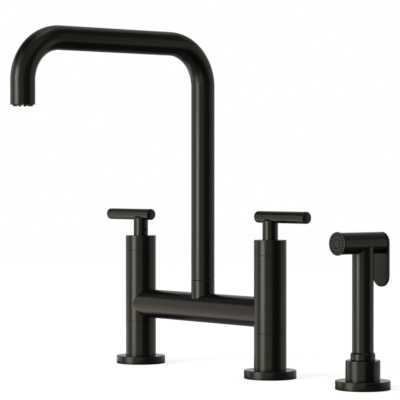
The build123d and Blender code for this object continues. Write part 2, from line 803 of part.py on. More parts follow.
def face_holes():
    """The centres of the spray holes, two rings of them, as offsets from the head's axis."""
    rings = (
        (face_outer_hole_count, face_outer_hole_radius),
        (face_inner_hole_count, face_inner_hole_radius),
    )
    for count, radius in rings:
        for index in range(count):
            angle = 2 * pi * index / count
            yield radius * cos(angle), radius * sin(angle)


def spray_face():
    """The perforated face: a rim, a groove behind it and a plug that screws into the head."""
    back = -head_front
    front = back - face_groove - face_thickness
    face = rod_y(face_diameter / 2, front, front + face_thickness, spray_x, head_height)
    neck = head_diameter / 2 - face_groove_depth
    face += rod_y(neck, front, back, spray_x, head_height)
    plug = head_bore / 2 - slip_gap
    face += rod_y(plug, front, back + face_plug_length, spray_x, head_height)
    plate_back = front + face_thickness
    chamber_back = plate_back + face_groove / 2
    face -= rod_y(plug - face_wall, plate_back, back + face_plug_length + 1, spray_x, head_height)
    face -= rod_y(neck - face_chamber_wall, plate_back, chamber_back, spray_x, head_height)
    for across, up in face_holes():
        hole_at = (spray_x + across, head_height + up)
        face -= rod_y(face_hole_diameter / 2, front - 1, chamber_back, *hole_at)
    return face


def valve_seat():
    front = -valve_seat_back - valve_seat_thickness
    seat = rod_y(head_bore / 2 - slip_gap, front, -valve_seat_back, spray_x, head_height)
    return seat - rod_y(valve_seat_hole / 2, front - 1, 1 - valve_seat_back, spray_x, head_height)


def valve_seal():
    back = -valve_seat_back + valve_seal_thickness
    return rod_y(valve_seal_diameter / 2, -valve_seat_back, back, spray_x, head_height)


def valve_head_back():
    return -valve_seat_back + valve_seal_thickness + valve_head_thickness


def valve_stem():
    """The stem that the lever pulls: a head in front, a neck and a button for the fork behind."""
    front = -valve_seat_back + valve_seal_thickness
    stem_end = valve_neck_end - valve_neck_length
    stem = rod_y(valve_head_diameter / 2, front, valve_head_back(), spray_x, head_height)
    stem += rod_y(valve_stem_diameter / 2, front, stem_end, spray_x, head_height)
    stem += rod_y(valve_neck_diameter / 2, front, valve_neck_end, spray_x, head_height)
    button = rod_y(valve_button_diameter / 2, valve_neck_end, valve_button_end, spray_x, head_height)
    return stem + button


def valve_gland():
    end = gland_start + gland_length
    outer = valve_chamber_diameter / 2 - slip_gap
    gland = rod_y(outer, gland_start, end, spray_x, head_height)
    bore = valve_stem_diameter / 2 + running_gap
    return gland - rod_y(bore, gland_start - 1, end + 1, spray_x, head_height)


def valve_spring():
    spring = coil(
        valve_spring_diameter, spring_wire_diameter, valve_spring_turns, valve_head_back(), gland_start
    )
    return Pos(spray_x, 0, head_height) * Rot(-90, 0, 0) * spring


# ---- Side spray: lever --------------------------------------------------------------------------
def spray_lever():
    """A plate behind the wand, with a knuckle on the pin and a fork that pulls the valve's stem."""
    front = head_back + lever_gap
    middle = head_height + lever_top - lever_length / 2
    outline = SlotOverall(lever_length, lever_width, rotation=90)
    plate = extrude(outline, lever_thickness)
    rims = plate.edges().filter_by(Axis.Z, reverse=True).group_by(Axis.Z)
    plate = chamfer([*rims[0], *rims[-1]], lever_edge)
    plate = Pos(spray_x, front + lever_thickness, middle) * Rot(90, 0, 0) * plate

    half = tongue_width / 2
    fork_front = hinge_y - fork_thickness / 2
    knuckle = rod_x(knuckle_diameter / 2, spray_x - half, spray_x + half, hinge_y, hinge_z)
    knuckle += block(
        (spray_x - half, hinge_y, hinge_z - knuckle_diameter / 4),
        (spray_x + half, front + 1, hinge_z + knuckle_diameter / 2),
    )
    knuckle += block(
        (spray_x - half, fork_front, hinge_z),
        (spray_x + half, fork_front + fork_thickness, head_height + fork_rise),
    )
    slot = valve_neck_diameter / 2 + slip_gap * 2
    knuckle -= block(
        (spray_x - slot, fork_front - 1, head_height - slot),
        (spray_x + slot, fork_front + fork_thickness + 1, head_height + fork_rise + 1),
    )
    bore = lever_pin_diameter / 2 + slip_gap
    return plate + (knuckle - rod_x(bore, spray_x - half - 1, spray_x + half + 1, hinge_y, hinge_z))


# ---- The whole faucet -----------------------------------------------------------------------------
def column_nodes():
    """Both columns with their handles. Outward is -1 for the left column and 1 for the right."""
    nodes = {}
    for side, x, outward in (("left", left_x, -1), ("right", right_x, 1)):
        nodes[f"{side}_flange"] = flange(x, column_radius)
        nodes[f"{side}_shank"] = shank(x, shank_top)
        nodes[f"{side}_pillar"] = pillar(x)
        nodes[f"{side}_valve_body"] = valve_body(x, -outward, side == "right")
        nodes[f"{side}_cap"] = cap(x)
        nodes[f"{side}_cartridge_body"] = cartridge_body(x)
        nodes[f"{side}_turning_disc"] = ceramic_disc(x, moving_disc_foot(), 90)
        nodes[f"{side}_spindle"] = spindle(x)
        nodes[f"{side}_handle_stem"] = handle_stem(x, outward)
        nodes[f"{side}_handle_bar"] = handle_bar(x, outward)
        nodes[f"{side}_set_screw"] = set_screw(x, outward)
    nodes["fixed_discs"] = [ceramic_disc(x, fixed_disc_foot(), 0) for x in (left_x, right_x)]
    nodes["seat_seals"] = [seat_seal(x) for x in (left_x, right_x)]
    return nodes


def deck_nodes():
    """What each of the three holes in the deck takes."""
    places = (left_x, right_x, spray_x)
    return {
        "flange_gaskets": [flange_gasket(x) for x in places],
        "rubber_washers": [rubber_washer(x) for x in places],
        "steel_washers": [steel_washer(x) for x in places],
        "mounting_nuts": [mounting_nut(x) for x in places],
    }


def bridge_nodes():
    return {
        "bridge_tube": bridge_tube(),
        "bridge_end_fittings": [bridge_end_fitting(left_x, 1), bridge_end_fitting(right_x, -1)],
        "spout_socket": spout_socket(),
        "spout_lock_screw": lock_screw(),
        "spout_washer": spout_washer(),
        "diverter_body": diverter_body(),
        "diverter_poppet": diverter_poppet(),
        "diverter_spring": coil(
            diverter_spring_diameter,
            diverter_spring_wire,
            diverter_spring_turns,
            poppet_foot() + poppet_thickness,
            spring_ceiling(),
        ),
        "spray_feed_tube": feed_tube(),
    }


def spout_nodes():
    plug_radius = plug_diameter / 2
    return {
        "spout_tube": spout_tube(),
        "spout_plug": spout_plug(),
        "spout_o_rings": [o_ring(plug_radius, oring_thickness, height) for height in oring_heights()],
        "aerator_shell": aerator_shell(),
        "aerator_screen": aerator_screen(),
        "aerator_gasket": aerator_gasket(),
    }


def spray_nodes():
    return {
        "spray_flange": flange(spray_x, holder_diameter / 2),
        "spray_holder": spray_holder(),
        "spray_shank": shank(spray_x, spray_shank_top),
        "spray_holder_liner": holder_liner(),
        "spray_ferrule": spray_ferrule(),
        "spray_hose_fitting": hose_fitting(),
        "spray_wand_tube": wand_tube(),
        "spray_wand_bush": wand_bush(),
        "spray_head": spray_head(),
        "spray_face": spray_face(),
        "spray_valve_seat": valve_seat(),
        "spray_valve_seal": valve_seal(),
        "spray_valve_stem": valve_stem(),
        "spray_valve_gland": valve_gland(),
        "spray_valve_spring": valve_spring(),
        "spray_lever": spray_lever(),
        "spray_lever_pin": lever_pin(),
    }


os.makedirs("parts", exist_ok=True)
for group in (column_nodes(), deck_nodes(), bridge_nodes(), spout_nodes(), spray_nodes()):
    for name, shape in group.items():
        solids = shape if isinstance(shape, list) else [shape]
        pieces = [solid for piece in solids for solid in piece.solids()]
        export_step(pieces[0] if len(pieces) == 1 else Compound(pieces), f"parts/{name}.step")
        print(name, "solids", len(pieces))
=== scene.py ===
import bmesh
import bpy
import json
from math import asin, atan2, cos, pi, radians, sin, sqrt, tan
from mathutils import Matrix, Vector


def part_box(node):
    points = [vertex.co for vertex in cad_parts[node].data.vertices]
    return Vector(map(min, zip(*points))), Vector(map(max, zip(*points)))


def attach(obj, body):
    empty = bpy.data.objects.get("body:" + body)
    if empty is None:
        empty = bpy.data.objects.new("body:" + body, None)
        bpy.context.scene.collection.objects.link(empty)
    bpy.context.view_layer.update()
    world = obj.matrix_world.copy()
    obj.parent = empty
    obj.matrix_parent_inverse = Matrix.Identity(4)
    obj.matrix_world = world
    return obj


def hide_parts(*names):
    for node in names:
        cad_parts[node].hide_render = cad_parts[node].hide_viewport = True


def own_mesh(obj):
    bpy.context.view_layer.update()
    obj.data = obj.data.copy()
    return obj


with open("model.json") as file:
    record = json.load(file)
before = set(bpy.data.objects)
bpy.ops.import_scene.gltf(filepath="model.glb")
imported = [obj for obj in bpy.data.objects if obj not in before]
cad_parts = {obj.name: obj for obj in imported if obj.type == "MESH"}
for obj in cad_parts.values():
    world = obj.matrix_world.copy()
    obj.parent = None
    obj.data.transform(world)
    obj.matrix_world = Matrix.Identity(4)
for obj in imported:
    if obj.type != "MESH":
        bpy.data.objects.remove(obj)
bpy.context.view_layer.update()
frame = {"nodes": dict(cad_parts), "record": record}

# A bridge kitchen faucet in satin black. X runs along the bridge to the user's right, Y away from
# the user, Z up, and the deck is at height 0. Blender works in metres. The sizes of the pieces are
# in millimetres here, and those of the camera and the studio in metres.
mm = 0.001

# ---- Sizes that the nodes' boxes don't give -----------------------------------------------------
slip_gap = 0.05  # between pieces that are screwed, pressed or soldered together

flange_bore = 27.0
flange_recess = 1.5  # how deep its pillar or holder sits in a flange
gasket_groove = (18.0, 22.0, 1.5)  # inner radius, outer radius, depth

shank_bore = 21.5
shank_chamfer = 0.4
thread_pitch = 1.814
thread_depth = 1.16
thread_start = 0.3  # above the shank's lower end
thread_lead = 1.2  # the height in which the thread's first turn rises from the root
thread_run_out = 3.0  # the height in which its last turn fades below the deck
thread_gap = 0.2  # between its end and the next ring above it

nut_width = 36.0
nut_level = 0.955  # the radius at which a nut's corners start to slope, over half of its width
nut_slope = radians(30)
nut_countersink = 0.8

cap_roof = 8.0  # its thickness
cap_bore = 16.1  # below the roof
cap_opening = 15.45  # through the roof

bar_edge = 0.9  # the radius of the eased edge at a cross bar's ends
bar_crown = 0.55  # how far those ends bulge

socket_width = 1.5  # of the hexagon in a set screw, across its flats
socket_depth = 1.2
socket_round = 1.08  # the bore that the hexagon is made from, over the hexagon's width

bridge_wall = 1.5
bridge_saddle = 4.0  # the length at each end that follows a column's round side
socket_neck = 19.8  # the diameter of the spout socket's neck, which goes into the bridge

spout_wall = 1.5
spout_bend = 41.0
spout_lip = 0.4  # how far the spout stands out past the aerator's screen

diverter_coil = (0.5, 4, 2.5)  # wire, turns, and how far it shortens at its joint's limit
valve_coil = (1.0, 6, 1.4)

liner_seat = 21.6  # the holder's bore
ferrule_tail = 17.8  # the diameter of the part in the holder
ferrule_cup = 19.66  # the bore that takes the wand
ferrule_bore = 15.1
ferrule_floor = 3.0  # the cup's floor above the holder
collar_height = 7.7  # of the ferrule above the holder
collar_round = (3.2, 0.6)  # the radii at its top and its foot
wand_wall = 1.75
wand_cope = 6.0  # the length at the wand's top that follows the head's round underside

face_thickness = 1.1
face_edge = 0.5  # the radius round the front
face_chamfer = 0.15  # round the back
face_groove = 1.0  # the gap between the face and the head
face_groove_depth = 2.2
face_neck_wall = 0.5
face_plug = 15.9
face_plug_wall = 1.0
face_plug_chamfer = (0.3, 0.4)  # across and along
face_rings = ((18, 7.9), (9, 4.2))  # how many holes, and how far from the middle
hole_radius = 0.55
hole_mouth = 0.85

# ---- Camera -------------------------------------------------------------------------------------
camera_place = Vector((1.50138, -1.21403, 0.1873))
camera_azimuth = radians(141.126)  # of the direction that the camera looks in, from +X towards +Y
camera_pitch = radians(-0.561)
focal_length = 175.7
sensor_width = 36.0
clip_range = (0.05, 50.0)


def make_camera():
    data = bpy.data.cameras.new("camera")
    data.lens = focal_length
    data.sensor_width = sensor_width
    data.clip_start, data.clip_end = clip_range
    camera = bpy.data.objects.new("camera", data)
    bpy.context.scene.collection.objects.link(camera)
    level = cos(camera_pitch)
    aim = Vector((level * cos(camera_azimuth), level * sin(camera_azimuth), sin(camera_pitch)))
    camera.location = camera_place
    camera.rotation_mode = "QUATERNION"
    camera.rotation_quaternion = aim.to_track_quat("-Z", "Y")
    bpy.context.scene.camera = camera


# ---- Materials ----------------------------------------------------------------------------------
class Nodes:
    """A short way to build a node tree."""

    def __init__(self, holder):
        holder.use_nodes = True
        self.tree = holder.node_tree
        self.tree.nodes.clear()

    def node(self, kind, values=None, **settings):
        """Adds a node. A value is what goes into one of its sockets, or another node's output."""
        node = self.tree.nodes.new("ShaderNode" + kind)
        for key, value in settings.items():
            setattr(node, key, value)
        for key, value in (values or {}).items():
            if isinstance(value, bpy.types.NodeSocket):
                self.tree.links.new(value, node.inputs[key])
            else:
                node.inputs[key].default_value = value
        return node

    def add(self, kind, **values):
        """Adds a node and gives its first output. A socket's name has _ in place of spaces."""
        values = {key.replace("_", " "): value for key, value in values.items()}
        return self.node(kind, values).outputs[0]

    def math(self, operation, *values):
        return self.node("Math", dict(enumerate(values)), operation=operation).outputs[0]

    def noise(self, place, scale, detail):
        values = {"Vector": place, "Scale": scale, "Detail": detail}
        return self.node("TexNoise", values).outputs["Fac"]

    def blend(self, factor, first, second):
        """A colour between two others."""
        values = {0: factor, 6: (*first, 1.0), 7: (*second, 1.0)}
        return self.node("Mix", values, data_type="RGBA").outputs[2]

    def finish(self, surface, kind="Material"):
        self.node("Output" + kind, {"Surface": surface})


white = (1.0, 1.0, 1.0)
cloud_range = (0.3, 0.7)  # in which most of the clouds' noise lies
grain_strength = 0.5
mark_stretch = (0.02, 0.02, 1.0)  # turning marks run round the Z axis
mark_scale = 3  # how much finer than the grain they are
mark_share = 0.3  # of them in the clouds
finishes = {}


def make_finish(
    name,
    color,
    roughness,
    specular=0.5,
    metallic=0.0,
    tint=white,
    cloud_scale=60.0,
    tone_spread=0.12,
    rough_spread=0.03,
    grain_scale=2200.0,
    grain_depth=0.004,
    lathe_marks=0.0,
):
    """A finish with clouds in its tone and gloss, a fine grain, and turning marks if asked."""
    material = bpy.data.materials.new(name)
    nodes = Nodes(material)
    place = nodes.node("TexCoord").outputs["Object"]
    cloud = nodes.noise(place, cloud_scale, detail=4.0)
    grain = nodes.noise(place, grain_scale, detail=3.0)
    if lathe_marks:
        squeezed = nodes.add("Mapping", Vector=place, Scale=mark_stretch)
        marks = nodes.noise(squeezed, grain_scale * mark_scale, detail=2.0)
        grain = nodes.math("MULTIPLY_ADD", marks, lathe_marks, grain)
        rest = nodes.math("MULTIPLY", cloud, 1 - mark_share)
        cloud = nodes.math("MULTIPLY_ADD", marks, mark_share, rest)
    darker = [channel * (1 - tone_spread) for channel in color]
    lighter = [min(1.0, channel * (1 + tone_spread)) for channel in color]
    rough = nodes.add(
        "MapRange",
        Value=cloud,
        From_Min=cloud_range[0],
        From_Max=cloud_range[1],
        To_Min=roughness - rough_spread,
        To_Max=roughness + rough_spread,
    )
    bump = nodes.add("Bump", Strength=grain_strength, Distance=grain_depth * mm, Height=grain)
    shader = nodes.node("BsdfPrincipled", {
        "Base Color": nodes.blend(cloud, darker, lighter),
        "Roughness": rough,
        "Normal": bump,
        "Metallic": metallic,
        "Specular IOR Level": specular,
        "Specular Tint": (*tint, 1.0),
    })
    nodes.finish(shader.outputs[0])
    finishes[name] = material


warm = (1.0, 0.97, 0.79)  # the tint of the black pieces' gloss
make_finish(
    "black_finish", (0.0040, 0.0040, 0.0036), 0.25,
    specular=0.30, tint=warm, rough_spread=0.02, grain_depth=0.0012,
)
make_finish(
    "spray_face_finish", (0.0075, 0.0072, 0.0064), 0.33,
    specular=0.34, tint=warm, grain_depth=0.006,
)
make_finish(
    "bare_brass", (0.66, 0.46, 0.20), 0.30,
    metallic=1.0, lathe_marks=0.8, tone_spread=0.08, cloud_scale=90,
)
make_finish(
    "stainless_steel", (0.52, 0.51, 0.49), 0.28,
    metallic=1.0, lathe_marks=0.6, tone_spread=0.06,
)
make_finish(
    "black_screw", (0.008, 0.008, 0.008), 0.42,
    specular=0.25, grain_depth=0.006, tone_spread=0.2,
)
make_finish(
    "black_rubber", (0.016, 0.016, 0.017), 0.72,
    specular=0.4, grain_scale=1500, grain_depth=0.02,
)
make_finish("white_ceramic", (0.78, 0.77, 0.74), 0.18, tone_spread=0.03, grain_depth=0.001)
make_finish(
    "nylon", (0.008, 0.008, 0.008), 0.6,
    specular=0.12, tone_spread=0.04, grain_depth=0.006,
)
make_finish("aerator_plastic", (0.012, 0.012, 0.012), 0.45, grain_depth=0.008, tone_spread=0.15)
slot_of_node = {part["node"]: part["material_slot"] for part in frame["record"]["subparts"]}


# ---- Studio -------------------------------------------------------------------------------------
room_light = 0.35  # of the white surroundings, on what doesn't mirror them
floor_half = 4.0
floor_level = -0.1 * mm  # clear of the flanges' undersides
floor_paint = 0.8
floor_glow = 0.7  # where it is seen, so that it looks white and keeps the object's shadow
studio_middle = Vector((0.05, 0.0, 0.17))
card_distance = 3.0
card_steps = 12


def seen_directly(nodes):
    """1 for rays that show the backdrop: from the camera, in a reflection or through glass."""
    path = nodes.node("LightPath").outputs
    either = nodes.math("MAXIMUM", path["Is Camera Ray"], path["Is Glossy Ray"])
    return nodes.math("MAXIMUM", either, path["Is Transmission Ray"])


def make_world():
    world = bpy.data.worlds.new("studio")
    nodes = Nodes(world)
    strength = nodes.add("MapRange", Value=seen_directly(nodes), To_Min=room_light, To_Max=1.0)
    nodes.finish(nodes.add("Background", Color=(*white, 1), Strength=strength), "World")
    bpy.context.scene.world = world


def stage_mesh(name, points, faces):
    """A floor or card: it isn't part of the object."""
    mesh = bpy.data.meshes.new(name)
    mesh.from_pydata(points, [], faces)
    stage = bpy.data.objects.new(name, mesh)
    bpy.context.scene.collection.objects.link(stage)
    material = bpy.data.materials.new(name)
    mesh.materials.append(material)
    return stage, Nodes(material)


def make_floor():
    corners = [(-1, -1), (1, -1), (1, 1), (-1, 1)]
    corners = [(x * floor_half, y * floor_half, floor_level) for x, y in corners]
    floor, nodes = stage_mesh("floor", corners, [(0, 1, 2, 3)])
    paint = nodes.add("BsdfDiffuse", Color=(floor_paint, floor_paint, floor_paint, 1))
    strength = nodes.math("MULTIPLY", seen_directly(nodes), floor_glow)
    glow = nodes.add("Emission", Color=(*white, 1), Strength=strength)
    nodes.finish(nodes.node("AddShader", {0: paint, 1: glow}).outputs[0])
    floor.data.materials[0].cycles.emission_sampling = "NONE"
    floor.visible_glossy = False


def seen_from_object(left, up):
    """A unit direction, given by its angle to the left of the camera and above the horizon."""
    azimuth = camera_azimuth + pi - radians(left)
    level = cos(radians(up))
    return Vector((cos(azimuth) * level, sin(azimuth) * level, sin(radians(up))))


def softbox(name, left, up, distance, width, height, level):
    """A soft area lamp that shows in the gloss as a surface of the given brightness."""
    data = bpy.data.lights.new(name, "AREA")
    data.shape = "RECTANGLE"
    data.size = width
    data.size_y = height
    data.energy = level * width * height * pi
    lamp = bpy.data.objects.new(name, data)
    bpy.context.scene.collection.objects.link(lamp)
    away = seen_from_object(left, up)
    lamp.location = studio_middle + away * distance
    lamp.rotation_mode = "QUATERNION"
    lamp.rotation_quaternion = (-away).to_track_quat("-Z", "Y")
    lamp.visible_camera = False


def show_in_gloss_only(stage):
    """Keeps a glowing card from the camera, and from lighting or shading anything."""
    stage.data.materials[0].cycles.emission_sampling = "NONE"
    stage.visible_camera = False
    stage.visible_diffuse = False
    stage.visible_shadow = False
    stage.visible_transmission = False


# What the gloss sees round the object: the tone of each sector, in degrees to the left of the
# camera, for each band of height above the horizon. A few cards are warm, and the rest are white.
# The floor is left out of reflections, so that the studio goes on below it, and a dark strip keeps
# the parts under the deck from showing there.
low_bands = ((-60, -25), (-25, -6), (-6, 25), (25, 45))
low_sectors = (
    ("back", 160, 200, (0.26, 0.42, 0.8, 0.55)),
    ("back_left", 128, 160, (0.40, 1.44, 0.44, 0.22)),
    ("left", 98, 128, (1.88, 1.6, 1.13, 0.10)),
    ("beside_key", 80, 98, (0.09, 0.19, 1.0, 0.02)),
    ("under_key", 42, 80, (0.6, 3.1, 0.3, 1.0)),
    ("front", -9, 42, (0.21, 1.18, 0.65, 0.41)),
    ("right_front", -55, -9, (0.0, 0.04, 0.13, 0.61)),
    ("beside_front", -72, -55, (0.01, 0.07, 0.09, 0.19)),
    ("right", -100, -72, (0.07, 0.87, 0.75, 0.19)),
    ("back_right", -160, -100, (0.07, 0.65, 0.67, 0.38)),
)
high_bands = ((45, 60), (60, 75), (75, 90))
high_sectors = (
    ("over_back", 128, 232, (0.55, 0.66, 1.55)),
    ("over_left", 42, 128, (0.02, 0.09, 0.55)),
    ("over_front", -60, 42, (0.45, 0.51, 1.9)),
    ("over_right", -128, -60, (0.09, 0.36, 1.8)),
)
warm_cards = {
    "left_0": (1.05, 0.965, 0.87),
    "left_1": (1.05, 0.965, 0.87),
    "left_2": (1.02, 0.985, 0.94),
}
underneath_tone = 0.26
deck_shade_tone = 0.2
deck_shade_height = 0.2  # this and the corners in millimetres
deck_shade_corners = ((-135, -35), (290, -35), (290, 35), (-135, 35))


def card(name, left, up, tone):
    """A matt card, curved round the object, that only reflections see, as bright as its tone."""
    side = card_steps + 1
    points = []
    faces = []
    for i in range(side):
        around = left[0] + (left[1] - left[0]) * i / card_steps
        for j in range(side):
            height = up[0] + (up[1] - up[0]) * j / card_steps
            points.append(studio_middle + seen_from_object(around, height) * card_distance)
    for i in range(card_steps):
        for j in range(card_steps):
            a = i * side + j
            faces.append((a, a + 1, a + side + 1, a + side))
    stage, nodes = stage_mesh(name, points, faces)
    color = (*warm_cards.get(name, white), 1.0)
    nodes.finish(nodes.add("Emission", Color=color, Strength=tone))
    show_in_gloss_only(stage)


def make_surround():
    """The cards all round, and the dark strip at the deck."""
    for bands, sectors in ((low_bands, low_sectors), (high_bands, high_sectors)):
        for name, start, end, tones in sectors:
            for k, (band, tone) in enumerate(zip(bands, tones)):
                card(f"{name}_{k}", (start, end), band, tone)
    card("underneath", (-180, 180), (-90, -60), underneath_tone)
    corners = [Vector((x, y, deck_shade_height)) * mm for x, y in deck_shade_corners]
    shade, nodes = stage_mesh("deck_shade", corners, [(0, 1, 2, 3)])
    nodes.finish(nodes.add("Emission", Color=(*white, 1), Strength=deck_shade_tone))
    show_in_gloss_only(shade)


# ---- Making meshes ------------------------------------------------------------------------------
def box_of(*nodes):
    """The lowest and the highest corner of one or more nodes, in millimetres."""
    lows, highs = zip(*[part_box(node) for node in nodes])
    low = Vector([min(corner[i] for corner in lows) for i in range(3)])
    high = Vector([max(corner[i] for corner in highs) for i in range(3)])
    return low / mm, high / mm


def half_depth(node):
    """The radius of a round upright node, or of each of several in a row along X."""
    low, high = box_of(node)
    return (high.y - low.y) / 2


def add_piece(name, body, nodes, points, faces, normals=None, crease=30.0):
    """Makes a piece that stands for CAD nodes and moves with a body. Points are in millimetres.

    Where no normals are given, edges sharper than the crease, in degrees, show as edges."""
    mesh = bpy.data.meshes.new(name)
    mesh.from_pydata([point * mm for point in points], [], faces)
    work = bmesh.new()
    work.from_mesh(mesh)
    bmesh.ops.recalc_face_normals(work, faces=work.faces)
    for face in work.faces:
        face.smooth = True
    if normals is None:
        for edge in work.edges:
            edge.smooth = edge.calc_face_angle(0.0) < radians(crease)
    work.to_mesh(mesh)
    work.free()
    if normals is not None:
        mesh.normals_split_custom_set_from_vertices(normals)
    piece = bpy.data.objects.new(name, mesh)
    bpy.context.scene.collection.objects.link(piece)
    slot = slot_of_node[nodes[0]]
    mesh.materials.append(finishes[slot])
    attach(piece, body)
    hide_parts(*nodes)
    return piece


def strip(one, two):
    """The faces between two closed rings of as many points."""
    faces = []
    for k in range(len(one)):
        after = (k + 1) % len(one)
        faces.append((one[k], one[after], two[after], two[k]))
    return faces


def rounded(corners, steps=4):
    """The stations of a closed outline whose corners become arcs, each a place and a normal.

    A corner is (radius, place along the axis, size of its arc). Seen with the radius to the right
    and the axis up, the outline runs anticlockwise. A corner on the axis stays as it is."""
    stations = []
    for i, (radius, along, size) in enumerate(corners):
        here = Vector((radius, along))
        arriving = (here - Vector(corners[i - 1][:2])).normalized()
        leaving = (Vector(corners[(i + 1) % len(corners)][:2]) - here).normalized()
        if radius == 0:
            way = arriving if corners[i - 1][0] > 0 else leaving
            stations.append((here, Vector((way.y, -way.x))))
            continue
        turn = atan2(arriving.cross(leaving), arriving.dot(leaving))
        side = 1.0 if turn > 0 else -1.0
        start = here - arriving * size * tan(abs(turn) / 2)
        centre = start - Vector((arriving.y, -arriving.x)) * size * side
        heading = atan2(arriving.y, arriving.x)
        for k in range(steps + 1):
            angle = heading + turn * k / steps
            normal = Vector((sin(angle), -cos(angle)))
            stations.append((centre + normal * size * side, normal))
    return stations


def divided(stations, longest):
    """Adds stations so that none is further along the axis from the next than a given length."""
    made = []
    for i, (spot, normal) in enumerate(stations):
        made.append((spot, normal))
        following = stations[(i + 1) % len(stations)][0]
        parts = int(abs(following.y - spot.y) / longest)
        for k in range(1, parts + 1):
            made.append((spot.lerp(following, k / (parts + 1)), normal))
    return made


def upright(x):
    return lambda along: (Vector((x, 0, along)), Vector((1, 0, 0)), Vector((0, 1, 0)))


def along_x(z):
    return lambda along: (Vector((along, 0, z)), Vector((0, 1, 0)), Vector((0, 0, 1)))


def turned(name, body, nodes, lines, stations, segments=96, reshape=None):
    """A turned piece: closed stations swept round each line. A line gives, for a length along it,
    the centre and two directions across. Reshape moves each point."""
    points = []
    normals = []
    faces = []
    for line in lines:
        rings = []
        for spot, normal in stations:
            centre, across, over = line(spot.y)
            forward = across.cross(over)
            ring = []
            for k in range(segments):
                angle = 2 * pi * (k + 0.5) / segments
                outward = across * cos(angle) + over * sin(angle)
                if spot.x == 0 and k > 0:
                    ring.append(ring[0])
                    continue
                point = centre + outward * spot.x
                ring.append(len(points))
                points.append(reshape(point) if reshape else point)
                normals.append((outward * normal.x + forward * normal.y).normalized())
            rings.append(ring)
        for i, ring in enumerate(rings):
            following = (i + 1) % len(rings)
            if stations[i][0].x == 0 and stations[following][0].x == 0:
                continue
            faces += [list(dict.fromkeys(face)) for face in strip(ring, rings[following])]
    return add_piece(name, body, nodes, points, faces, normals)


# ---- Flanges, columns and what is under the deck ------------------------------------------------
def middle_and_radius(node):
    """Where a round upright node stands along X, and its radius."""
    low, high = box_of(node)
    return (low.x + high.x) / 2, (high.x - low.x) / 2


left_x, column_radius = middle_and_radius("left_pillar")
right_x = -left_x
spray_x = middle_and_radius("spray_holder")[0]
shank_radius = middle_and_radius("left_shank")[1]


def make_flange(side, x, seat_radius):
    """The plate that a column or the spray's holder stands in, with its groove for a gasket."""
    node = side + "_flange"
    top = box_of(node)[1].z
    outer = half_depth(node)
    seat = top - flange_recess
    inner, wide, depth = gasket_groove
    stations = rounded([
        (outer, 0, 0.2),
        (outer, top, 0.6),
        (seat_radius + slip_gap, top, 0.12),
        (seat_radius + slip_gap, seat, 0.05),
        (flange_bore / 2, seat, 0.1),
        (flange_bore / 2, 0, 0.2),
        (inner, 0, 0.1),
        (inner, depth, 0.1),
        (wide, depth, 0.1),
        (wide, 0, 0.1),
    ])
    turned(side + "_flange_plate", "faucet_body", [node], [upright(x)], stations, segments=128)


def make_shank(side, x):
    """The threaded tube under the deck. Its thread runs out just below the deck.

    The thread is one long strip. It has four rows of points to a turn, and a row's end is next to
    the start of the row four further on."""
    node = side + "_shank"
    low, high = box_of(node)
    segments = 72
    phases = (0.0, 0.125, 0.5, 0.625)  # of the root's two edges and the crest's two, in a turn
    heights = (0.0, 0.0, 1.0, 1.0)
    turns = int((-low.z - thread_run_out) / thread_pitch) - 1
    last_row = 4 * turns
    start = low.z + thread_start
    finish = start + (turns + 1) * thread_pitch
    root = shank_radius - thread_depth
    bore = shank_bore / 2
    points = []

    def point(k, radius, height):
        angle = 2 * pi * k / segments
        points.append(Vector((x + radius * cos(angle), radius * sin(angle), height)))
        return len(points) - 1

    def ring(radius, height):
        return [point(k, radius, height) for k in range(segments)]

    rows = []
    for m in range(last_row + 1):
        row = []
        for k in range(segments):
            height = start + thread_pitch * (m // 4 + phases[m % 4] + k / segments)
            rise = heights[m % 4]
            rise = min(rise, max(0.0, (height - low.z - thread_start) / thread_lead))
            rise = max(rise, min(1.0, 1 - (finish - height) / thread_run_out))
            row.append(point(k, shank_radius - thread_depth * (1 - rise), height))
        rows.append(row)
    foot = ring(root, start)
    rest = [
        foot,
        ring(root - thread_start, low.z),
        ring(bore + shank_chamfer, low.z),
        ring(bore, low.z + shank_chamfer),
        ring(bore, high.z - shank_chamfer),
        ring(bore + shank_chamfer, high.z),
        ring(shank_radius - shank_chamfer, high.z),
        ring(shank_radius, high.z - shank_chamfer),
        ring(shank_radius, finish + thread_gap),
    ]
    top = rest[-1]
    faces = []
    for one, two in zip(rest, rest[1:]):
        faces += strip(two, one)
    last = segments - 1
    strips = [foot] + rows + [top]
    for one, two in zip(strips, strips[1:]):
        faces += strip(one, two)[:last]
    for m in range(last_row - 4):
        faces.append((rows[m][last], rows[m + 4][0], rows[m + 5][0], rows[m + 1][last]))
    faces.append([foot[last], foot[0]] + [rows[m][0] for m in range(5)] + [rows[0][last]])
    closing = [rows[m][last] for m in range(last_row - 4, last_row + 1)]
    faces.append(closing + [top[last], top[0], rows[last_row][0]])
    add_piece(side + "_threaded_shank", "faucet_body", [node], points, faces, crease=35.0)


